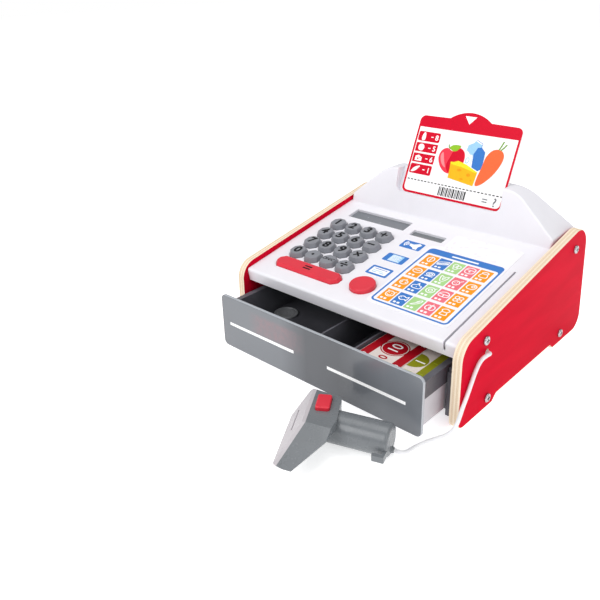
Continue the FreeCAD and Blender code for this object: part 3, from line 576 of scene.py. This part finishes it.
# ---- touch sheet --------------------------------------------------------------------
TILE_X, TILE_S, TILE = (29.2, 42.6, 56.0, 69.5, 83.0), (36.1, 57.0, 77.7, 98.6), (12.1, 17.2)
TILE_INKS = ("orange", "blue", "green", "pink", "orange")


def goods():
    """One line drawing for each tile: a list of (kind, points or numbers)."""
    loop = lambda points: ("closed", blob(points, 3))
    ring = lambda x, y, a, b, turn=0: ("closed", oval(x, y, a, b, turn, 18))
    line = lambda *points: ("open", list(points))
    dot = lambda x, y, r=0.45: ("dot", disc(x, y, r, 10))
    face = [ring(0, 0, 3.4, 3.4), dot(-1.2, 0.8), dot(1.2, 0.8), ("open", arc(0, 0, 2, 210, 330, 6))]
    return [
        # from the front row to the back, each from left to right
        face + [line((-2.8, 2.4), (-3.6, 4.0)), line((2.8, 2.4), (3.6, 4.0))],
        [loop([(-3.6, 0), (-1, 2.4), (2.4, 1.4), (3.8, 2.8), (3.8, -2.4), (2.4, -1.2), (-1, -2.4)]),
         dot(-1.8, 0.5)],
        [loop([(-3, -3.4), (-1, -1), (1, 2.6), (3.4, 3.6), (2.8, 0.6), (0.8, -1.6), (-1.4, -3.2)]),
         line((-1, -1), (2, 2))],
        [ring(-1.5, -0.6, 2.2, 2.8), ring(1.7, -0.6, 2.2, 2.8), line((0, 2), (1.2, 4))],
        [loop([(-2.6, -3.2), (2.6, -3.2), (2, 0), (3, 2.4), (0, 4), (-3, 2.4), (-2, 0)]), line((-2, 0), (2, 0))],
        [ring(0, -0.4, 3.3, 2.9), line((0, 2.4), (0.6, 4.0)), line((-1.6, 0.8), (-1.6, -1.6)),
         line((1.6, 0.8), (1.6, -1.6))],
        [loop([(-3.2, -3), (3.2, -3), (3.6, 0.4), (1.2, 1.2), (0, 3.8), (-1.2, 1.2), (-3.6, 0.4)]), dot(0, -1)],
        [ring(0, 0, 3.5, 3.5), ring(0, 0, 1.5, 1.5), line((2.4, 2.4), (3.8, 3.8))],
        [loop([(-3.6, -2.6), (3.6, -2.6), (3.6, 1.6), (0, 3.4), (-3.6, 1.6)]), line((-3.6, 0), (3.6, 0)),
         line((0, 0), (0, -2.6))],
        [ring(-1.7, 1.5, 1.6, 1.6), ring(1.7, 1.5, 1.6, 1.6), ring(-1.7, -1.8, 1.6, 1.6),
         ring(1.7, -1.8, 1.6, 1.6)],
        [loop([(-3.5, -1.6), (0, -3), (3.5, -1.6), (3.1, 1.8), (0, 3.2), (-3.1, 1.8)]),
         line((-2.4, 0.4), (2.4, 0.4))],
        [ring(0, 0.2, 3.4, 2.3), ring(0, 0.2, 1.7, 1.0), line((-3.6, -3), (3.6, -3))],
        [loop([(-3.4, 3), (-1.5, -3.6), (1.5, -3.6), (3.4, 3), (0, 1.8)]), line((-1, 1), (0, -2.2)),
         line((1, 1), (0.3, -1.6))],
        [ring(-0.8, -0.8, 2.8, 2.8), line((1.2, 1.2), (3.6, 3.6)), dot(-1.6, -1), dot(0.2, -1.8), dot(-0.4, 0.4)],
        [loop([(-3.6, -0.8), (-2, -3), (2.6, -2.6), (3.8, 1), (1.4, 3.2), (-2.2, 2.4)]), ring(1.2, 0.6, 1.2, 1.2)],
        [loop([(0, -3.6), (2.9, -0.6), (2.2, 2.6), (0, 3.8), (-2.2, 2.6), (-2.9, -0.6)]),
         line((0, -3.6), (0, 3.4))],
        [loop([(-3.7, -1.8), (3.7, 1.4), (3.2, 3), (-3.9, 0.2)]),
         loop([(-3.4, -3.6), (3.8, -0.8), (3.6, 0.2), (-3.6, -2.4)])],
        [ring(-1.2, 1.2, 2.1, 2.1), ring(1.6, 0.4, 1.9, 1.9), ring(-0.2, -2, 1.9, 1.6)],
        [loop([(-3.2, -3.2), (3.2, -3.2), (3.2, 3.2), (-3.2, 3.2)]), line((-3.2, 0.8), (3.2, 0.8)),
         dot(0, -1.2, 0.9)],
        [loop([(-3, -3.4), (3, -3.4), (2.2, 1), (-2.2, 1)]), ring(0, 2.4, 2.6, 1.4)],
    ]


def touch_art():
    """Blue frame with a header, and five columns of tiles in four rows."""
    art = Print("touch_sheet_art", DECK, inks("white", "blue", "orange", "green", "pink"), SHEET)
    left, right, low, high, band = 18.4, 94.0, 23.4, 118.8, 110.0
    outer = rect(left, low, right, high, 4.6, 8)
    art.add([outer, rect(left + 1.8, low + 1.8, right - 1.8, band, 3.0, 6)], "blue")
    art.add(rect(43.6, 112.9, 70.2, 114.9, 0.4, 2), "white", 2)
    drawings = goods()
    for row, s in enumerate(TILE_S):
        for column, x in enumerate(TILE_X):
            art.at(x, s)
            half, tall = TILE[0] / 2, TILE[1] / 2
            art.add(rect(-half, -tall, half, tall, 0.5, 2), TILE_INKS[column])
            art.at(x + 0.2, s + 2.0, 0, 1.12)
            for kind, points in drawings[row * 5 + column]:
                if kind == "dot":
                    art.add(points, "white", 2)
                else:
                    art.line(points, 0.78, "white", 2, kind == "closed")
            art.at(x, s)
            for dx in (-3.0, 0.6):
                art.add(rect(dx - 1.2, -6.9, dx + 1.2, -4.6, 0.4, 2), "white", 2)
    art.at()
    art.done("register")


def stickers_art():
    """Three small pictures: the scanner, a swipe card and a list."""
    names = inks("white", "blue", "sky", "grey")
    art = Print("sticker_art", DECK, names, SHEET)
    for low, high in ((107.0, 120.6), (79.8, 93.9), (54.7, 69.6)):
        art.at().add(rect(-11.1, low + 0.25, 11.6, high - 0.25, 1.6, 5), "blue")
    gun = [(-2.6, 113.1), (2.8, 110.3), (3.8, 108.7), (7.8, 108.7), (7.0, 113.0), (8.9, 117.4), (5.8, 119.1),
           (0.8, 115.8), (-3.2, 116.3)]
    art.add(gun, "white", 2)
    for radius in (2.3, 4.0, 5.7):
        art.line(arc(-2.4, 114.6, radius, 135, 225, 10), 0.95, "white", 2)
    art.add(rect(-5.6, 81.4, 7.0, 92.3), "sky", 2)
    for i in range(12):
        art.add(rect(-5.0, 82.1 + i * 0.83, 6.3 - (i * 5 % 4) * 0.9, 82.5 + i * 0.83), "white", 3)
    art.add(rect(-8.6, 57.4, 9.1, 66.9, 0.8, 3), "white", 2)
    art.add(rect(-6.4, 64.6, 7.0, 65.4), "blue", 3).add(rect(-6.4, 61.8, 4.0, 62.5), "sky", 3)
    art.add(rect(-6.4, 59.2, -2.0, 60.2), "sky", 3).add(rect(1.4, 59.2, 6.6, 60.2), "sky", 3)
    art.done("register")


# ---- list card ----------------------------------------------------------------------
CARD_HALF, CARD_TALL, CARD_HEADER = 55.8, 79.8, 68.2      # the print stops 0.2 short of the card's edge
CARD_CORNER, CARD_BORDER = 5.8, 2.2
TAB_HALF, TAB_RISE = 23.0, 8.0


def card_sheet():
    """Outline of the print with the round tab at its top."""
    half, tall, corner = CARD_HALF, CARD_TALL, CARD_CORNER
    radius = (TAB_HALF ** 2 + TAB_RISE ** 2) / (2 * TAB_RISE)
    centre = 80 + TAB_RISE - radius
    reach = math.degrees(math.asin((TAB_HALF - 0.6) / (radius - 0.2)))
    tab = arc(0, centre, radius - 0.2, 90 - reach, 90 + reach, 24)
    right, left = half - corner, -half + corner
    return arc(right, corner + 0.2, corner, -90, 0, 8) + arc(right, tall - corner, corner, 0, 90, 8) + tab \
        + arc(left, tall - corner, corner, 90, 180, 8) + arc(left, corner + 0.2, corner, 180, 270, 8)


def card_inside():
    """The white field inside the red border, under the red header."""
    reach, corner, low = CARD_HALF - CARD_BORDER, 4.4, 2.4
    return arc(reach - corner, low + corner, corner, -90, 0, 6) + [(reach, CARD_HEADER), (-reach, CARD_HEADER)] \
        + arc(-reach + corner, low + corner, corner, 180, 270, 6)


def card_list(art):
    """Four red rows at the left, each with a small picture and a price."""
    for i, (low, high) in enumerate(((53.8, 63.6), (42.8, 52.0), (31.9, 41.0), (20.2, 30.2))):
        middle = (low + high) / 2
        art.add(rect(-52.8, low, -27.6, high, 1.6 if i in (0, 3) else 0.5, 3), "red", 1.6)
        art.text("8561"[i], -31.2, middle, 5.0, "white", 2.4, bold=0.16)
        art.add(rect(-38.0, middle - 0.45, -35.2, middle + 0.45), "white", 2.4)
    bottle = blob([(-48, 55), (-44.6, 55), (-44.2, 59.4), (-45.2, 62.4), (-46.6, 62.6), (-48.2, 59.4)], 4)
    fruit = disc(-46.2, 47.4, 3.5)
    wedge = [(-50.0, 33.4), (-42.2, 33.4), (-42.2, 37.0), (-46.4, 39.4), (-50.0, 38.0)]
    root = blob([(-51.0, 21.8), (-46.4, 22.8), (-42.0, 27.4), (-42.6, 28.6), (-47.6, 26.6)], 4)
    for outline in (bottle, fruit, wedge):
        art.add(outline, "white", 2.4)
    art.add(disc(-46.8, 35.6, 0.9, 12), "red", 3).add(disc(-44.4, 36.6, 0.6, 12), "red", 3)
    art.add(root, "white", 2.4)


def card_apple(art):
    art.add(blob([(-10.4, 48.6), (-16.5, 50.9), (-22.0, 47.6), (-23.7, 40.6), (-20.6, 33.4), (-15.2, 28.2),
                  (-8.6, 26.2), (-1.8, 28.8), (3.6, 34.4), (5.0, 41.6), (3.4, 48.8), (-2.0, 52.6),
                  (-7.0, 50.8)]), "rose", 1.2)
    art.add(blob([(-9.0, 48.2), (-3.0, 52.2), (2.8, 48.6), (4.3, 41.6), (2.8, 34.6), (-2.4, 28.9), (-8.6, 27.0),
                  (-13.0, 33.5), (-11.2, 42.0)]), "red", 1.8)
    art.add(blob([(-21.6, 43.4), (-19.6, 46.0), (-17.6, 41.0), (-15.4, 35.6), (-13.6, 31.6), (-17.4, 33.8),
                  (-20.6, 38.4)]), "blush", 2.4)
    art.add(blob([(-13.8, 51.4), (-9.6, 48.6), (-5.2, 49.8), (-2.2, 54.4), (-7.0, 55.2), (-11.8, 54.0)]),
            "leaf", 3.0)
    art.line([(-13.2, 50.2), (-15.2, 52.4), (-15.6, 54.4)], 1.0, "stem", 3.0)


def card_carton(art):
    art.add([(12.4, 63.0), (19.6, 60.0), (19.4, 56.2), (15.4, 55.4), (12.6, 47.0), (12.6, 37.4), (6.0, 39.6),
             (4.6, 51.0), (5.2, 56.8), (10.4, 59.6)], "sky", 1.2)
    art.add([(12.4, 63.0), (19.6, 60.0), (19.4, 58.6), (12.2, 61.6)], "white", 1.8)
    art.line([(12.4, 63.0), (19.6, 60.0), (19.4, 56.2)], 0.5, "blue", 2.0)
    art.add([(15.6, 55.6), (19.6, 56.4), (24.4, 52.4), (25.6, 36.4), (21.6, 33.6), (14.4, 36.2), (12.8, 48.8)],
            "blue", 1.8)
    art.add([(4.9, 51.4), (12.2, 47.6), (12.4, 37.6), (6.0, 39.9)], "white", 1.8)
    art.line(oval(8.2, 42.2, 1.7, 2.6, -12), 0.7, "sky", 2.6, True)
    art.line(blob([(7.6, 50.4), (10.4, 48.2), (11.6, 50.8), (9.6, 53.2)], 4), 0.6, "sky", 2.6, True)


def card_carrot(art):
    art.add(blob([(35.6, 56.8), (41.4, 55.6), (44.2, 50.4), (43.0, 42.6), (38.2, 32.4), (31.0, 23.6), (25.0, 19.6),
                  (22.6, 21.0), (23.0, 28.0), (24.8, 37.6), (26.2, 47.4), (30.2, 54.2)]), "carrot", 2.2)
    for leaf in ([(37.5, 56.6), (39.2, 61.2), (40.4, 65.0)], [(39.4, 56.4), (42.0, 59.4), (44.0, 62.6)]):
        art.line(leaf, 1.3, "stem", 2.6)


def card_cheese(art):
    art.add([(-9.0, 38.2), (-6.4, 37.4), (-4.6, 38.8), (-0.9, 40.2), (4.0, 38.6), (8.5, 38.0), (22.0, 32.4),
             (21.0, 18.6), (-7.6, 22.2), (-8.0, 31.0)], "cheese", 3.0)
    art.add([(-8.6, 38.2), (-4.0, 38.4), (-0.9, 40.2), (8.5, 38.0), (22.0, 32.4), (19.6, 31.6), (4.0, 34.8),
             (-7.8, 35.8)], "yellow", 3.5)
    for hole in ((2.6, 31.6, 2.6, 1.3), (13.4, 28.4, 2.2, 1.6), (7.2, 23.4, 2.0, 1.0), (17.6, 23.6, 1.0, 0.7)):
        art.add(oval(*hole), "cheese_dark", 3.5)


def card_foot(art):
    """Dashed line, bars of uneven width and a sum left open."""
    dashes, pitch = 27, 3.98
    for i in range(dashes):
        art.add(rect(-52.0 + i * pitch, 13.6, -49.5 + i * pitch, 14.6), "black", 1.4)
    bars, gaps = (1.1, 0.7, 1.6, 0.8, 0.6, 1.4, 0.8), (0.7, 1.0, 0.6, 0.8)
    x = -13.6
    for i in range(17):
        wide = bars[i % len(bars)]
        art.add(rect(x, 3.4, x + wide, 12.2), "black", 1.4)
        x += wide + gaps[i % len(gaps)]
    art.add(rect(34.6, 8.4, 39.8, 9.4), "grey", 1.4).add(rect(34.6, 5.9, 39.8, 6.9), "grey", 1.4)
    art.text("?", 47.4, 7.6, 8.0, "grey", 1.4, bold=0.15)


def card_art():
    names = inks("white", "red", "dark_red", "rose", "blush", "leaf", "stem", "carrot", "cheese", "cheese_dark",
                 "yellow", "blue", "sky", "black", "grey")
    art = Print("list_card_art", CARD, names, 0.0)
    inside = card_inside()
    art.add([card_sheet(), inside], "red")
    art.add(inside, "white", 0.6)
    art.add([(-6.6, 84.2), (-0.2, 76.4), (6.2, 84.2)], "white", 2)
    for part in (card_list, card_apple, card_carton, card_carrot, card_cheese, card_foot):
        part(art)
    art.done("card")


# ---- drawer prints ------------------------------------------------------------------
def front_lines():
    """Two white lines on the drawer's front."""
    art = Print("drawer_front_lines", FRONT, inks("white"), 0.0, 0.08)
    art.add(rect(-100.2, 30.2, -19.6, 33.0, 0.3, 2), "white").add(rect(18.2, 30.2, 95.9, 33.0, 0.3, 2), "white")
    art.done("drawer")


def notes_art():
    """Borders, discs and numbers on the two play notes."""
    red = Print("play_note_red_art", LEVEL, inks("paper", "dark_red", "white"), 47.55)
    x0, x1, y0, y1 = 38.2, 78.5, -22.0, 66.0
    red.add(rect(x0 + 0.3, y0 + 0.3, x1 - 0.3, y1 - 0.3), "paper", 0.5)
    for a, b in ((x0 + 0.3, x0 + 8.6), (x1 - 8.6, x1 - 0.3)):
        red.add(rect(a, y0 + 0.3, b, y1 - 0.3), "dark_red")
    red.add([disc(58.3, 6.5, 12.2, 40), disc(58.3, 6.5, 11.2, 40)], "dark_red")
    red.add(disc(58.3, 6.5, 10.4, 40), "dark_red")
    red.text("10", 58.3, 6.5, 9.5, "white", 2, turn=90, bold=0.1)
    red.text("10", 58.6, -13.5, 7.5, "dark_red", 1, turn=90, bold=0.25)
    for a in (x0 + 4.5, x1 - 4.4):
        for y in (-16.0, 24.0):
            red.text("10", a, y, 3.4, "white", 2, turn=90)
    red.done("drawer")
    green = Print("play_note_green_art", LEVEL, inks("paper", "olive", "lime", "white"), 47.0)
    x0, x1, y0, y1 = 66.0, 99.8, -22.0, 60.0
    green.add(rect(78.8, y0 + 0.3, x1 - 0.3, y1 - 0.3), "paper", 0.5)
    green.add(rect(x1 - 8.2, y0 + 0.3, x1 - 0.3, y1 - 0.3), "olive")
    green.add(arc(80.0, 3.0, 11.0, -80, 90, 24) + [(78.9, 14.0), (78.9, -8.0)], "olive")
    green.text("1", 85.0, 2.6, 8.5, "white", 2, turn=90, bold=0.1)
    green.text("1", 84.5, -14.0, 6.5, "lime", 1, turn=90, bold=0.25)
    for y in (-12.0, 8.0, 28.0):
        green.text("1", x1 - 4.4, y, 3.4, "lime", 2, turn=90)
    green.done("drawer")


# ---- pieces with their own shape ----------------------------------------------------
def turned(name, profile, matrix, material, body, steps=96, wave=0.0, teeth=0):
    """A turned piece from (radius, height) points in millimetres, with optional edge teeth."""
    form = bmesh.new()
    rings = []
    widest = max(r for r, _ in profile)
    for r, z in profile:
        if r <= 0:
            rings.append([form.verts.new((0, 0, z))])
            continue
        ring = []
        for i in range(steps):
            a = math.tau * i / steps
            grow = wave * math.cos(teeth * a) if teeth and r > widest - 0.01 else 0.0
            ring.append(form.verts.new(((r + grow) * math.cos(a), (r + grow) * math.sin(a), z)))
        rings.append(ring)
    for one, two in zip(rings, rings[1:]):
        for i in range(steps):
            j = (i + 1) % steps
            if len(one) == 1:
                form.faces.new((one[0], two[i], two[j]))
            elif len(two) == 1:
                form.faces.new((one[i], one[j], two[0]))
            else:
                form.faces.new((one[i], one[j], two[j], two[i]))
    bmesh.ops.recalc_face_normals(form, faces=form.faces)
    form.transform(matrix)
    mesh = bpy.data.meshes.new(name)
    form.to_mesh(mesh)
    form.free()
    mesh.materials.append(material)
    piece = bpy.data.objects.new(name, mesh)
    bpy.context.scene.collection.objects.link(piece)
    smooth(piece, 35)
    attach(piece, body)
    return piece


COIN_ZINC = moulded("coin_zinc", "A6A8AC", 0.38, 0.006, 0.06, Metallic=0.35)


def coin():
    where = LEVEL @ Matrix.Translation((-86.5, 27.5, 22.05))
    profile = [(0, 0), (11.3, 0), (11.8, 0.35), (11.8, 1.45), (11.3, 1.8), (10.2, 1.8), (9.9, 1.45), (8.6, 1.45),
               (8.4, 1.55), (8.2, 1.45), (0, 1.45)]
    piece = turned("play_coin_struck", profile, where, COIN_ZINC, "coin", 144, 0.06, 72)
    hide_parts("play_coin")
    art = Print("play_coin_mark", LEVEL, {"zinc": COIN_ZINC}, 23.45, 0.22)
    art.text("5", -86.5, 27.5, 8.0, "zinc", 1, bold=0.2)
    art.done("coin")


CORD_ROUTE = [
    (120.0, 37.8, 54.6), (124.3, 37.6, 54.8), (126.8, 35.0, 55.8), (126.4, 30.2, 56.6), (124.9, 24.2, 54.6),
    (124.6, 18.0, 48.0), (124.5, 12.6, 38.8), (124.6, 7.4, 30.4), (124.8, 2.0, 23.6), (125.0, -2.2, 17.2),
    (124.6, -5.0, 11.0), (122.6, -7.8, 5.6), (119.0, -12.4, 2.3), (114.8, -19.4, 1.6), (111.0, -28.6, 1.6),
    (108.8, -37.6, 1.6), (108.2, -44.6, 1.9), (107.3, -49.4, 2.9), (105.2, -52.6, 4.3),
]
CORD_R = 1.6


def cord_end():
    """Tip of the tapered bush on the grip, from the grip's end and centre line."""
    grip_end, past_end = 43.0, 1.8
    along, across, height = grip_end + past_end, 1.5, 4.9
    x = SCANNER_AT[0] + along * math.cos(SCANNER_TURN) - across * math.sin(SCANNER_TURN)
    y = SCANNER_AT[1] + along * math.sin(SCANNER_TURN) + across * math.cos(SCANNER_TURN)
    return x, y, height


def cord():
    points = CORD_ROUTE + [cord_end()]
    curve = bpy.data.curves.new("scanner_cord", "CURVE")
    curve.dimensions = "3D"
    curve.bevel_depth = CORD_R * MM
    curve.bevel_resolution = 5
    curve.resolution_u = 8
    curve.use_fill_caps = True
    spline = curve.splines.new("NURBS")
    spline.points.add(len(points) - 1)
    for target, (x, y, z) in zip(spline.points, points):
        target.co = (x * MM, (y - ORIGIN_Y) * MM, z * MM, 1.0)
    spline.order_u = 3
    spline.use_endpoint_u = True
    curve.materials.append(moulded("cord_vinyl", "ECECEF", 0.45, 0.01, 0.015))
    piece = bpy.data.objects.new("scanner_cord", curve)
    bpy.context.scene.collection.objects.link(piece)
    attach(piece, "register")
    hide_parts("cord")


# ---- floor --------------------------------------------------------------------------
def floor():
    mesh = bpy.data.meshes.new("studio_floor")
    reach = 6.0
    mesh.from_pydata([(-reach, -reach, 0), (reach, -reach, 0), (reach, reach, 0), (-reach, reach, 0)], [],
                     [(0, 1, 2, 3)])
    surface = Surface("studio_floor", (0.9, 0.9, 0.9), 0.9)
    surface.shader.inputs["Emission Color"].default_value = (1, 1, 1, 1)
    surface.shader.inputs["Emission Strength"].default_value = 0.58
    mesh.materials.append(surface.material)
    ground = bpy.data.objects.new("studio_floor", mesh)
    ground.location.z = -0.0002
    bpy.context.scene.collection.objects.link(ground)


def dress_frame():
    """A material for every CAD node; what isn't named here is key grey."""
    white = moulded("housing_white", "E9E8EE", 0.36, 0.006, 0.01)
    grey = moulded("key_grey", "83858C", 0.4, 0.006)
    red = moulded("button_red", "D8263A", 0.36)
    black = moulded("tray_black", "55555C", 0.42, 0.02, 0.08)
    dark = moulded("scanner_grey", "6E7276", 0.26, 0.002)
    pale = moulded("pale_grey", "BDB8BC", 0.45)
    board = moulded("board_green", "1F6B3A", 0.4)
    vinyl = moulded("cord_vinyl", "ECECEF", 0.45, 0.01, 0.015)
    paper = ink("ink_paper", "DAD0CA")
    steel = metal("spring_wire", "A8AAAD", 0.3)
    small_screws = metal("small_screws", "A8AAAD", 0.3)
    looks = {
        "side_panel_left": lacquered_ply(), "panel_screws": screw_steel(),
        "top_housing": white, "rear_cover": white, "chassis": black, "coin_tray": black,
        "rear_cover_screws": small_screws, "board_screws": small_screws, "drawer_screws": small_screws,
        "drawer_box": moulded("box_grey", "C9C8CE", 0.45), "drawer_front": clear_front(),
        "display_window": moulded("display_grey", "72767C", 0.22, 0.002),
        "display_panel": moulded("panel_grey", "7F8487", 0.4),
        "solar_cell": moulded("solar_dark", "6F7478", 0.2, 0.002),
        "calculator_board": board, "scanner_board": board, "key_mat": moulded("mat_rubber", "5A5B60", 0.8),
        "touch_sheet": moulded("film_white", "F1F0F5", 0.3, 0.003, 0.01),
        "equals_bar": red, "release_button": red, "scanner_trigger": red,
        "release_spring": steel, "drawer_spring": steel, "latch_lever": grey, "latch_pin": steel,
        "play_note_red": paper, "play_note_green": paper,
        "list_card": moulded("card_white", "F4F4F6", 0.35, 0.004, 0.01),
        "scanner_shell_top": dark, "scanner_shell_bottom": dark, "scanner_window": pale, "scanner_buzzer": black,
        "cord_relief": dark, "cord_stop": vinyl,
    }
    looks["side_panel_right"] = looks["side_panel_left"]
    for name in ("sticker_scan", "sticker_swipe", "sticker_list"):
        looks[name] = looks["touch_sheet"]
    for name in NODES:
        if name in ("cord", "play_coin"):        # hidden by pieces with their own shape
            set_material(name, looks["cord_stop"])
        else:
            set_material(name, looks.get(name) or grey)


add_camera()
cord()
add_studio()
floor()
dress_frame()
key_legends()
touch_art()
stickers_art()
card_art()
front_lines()
notes_art()
coin()
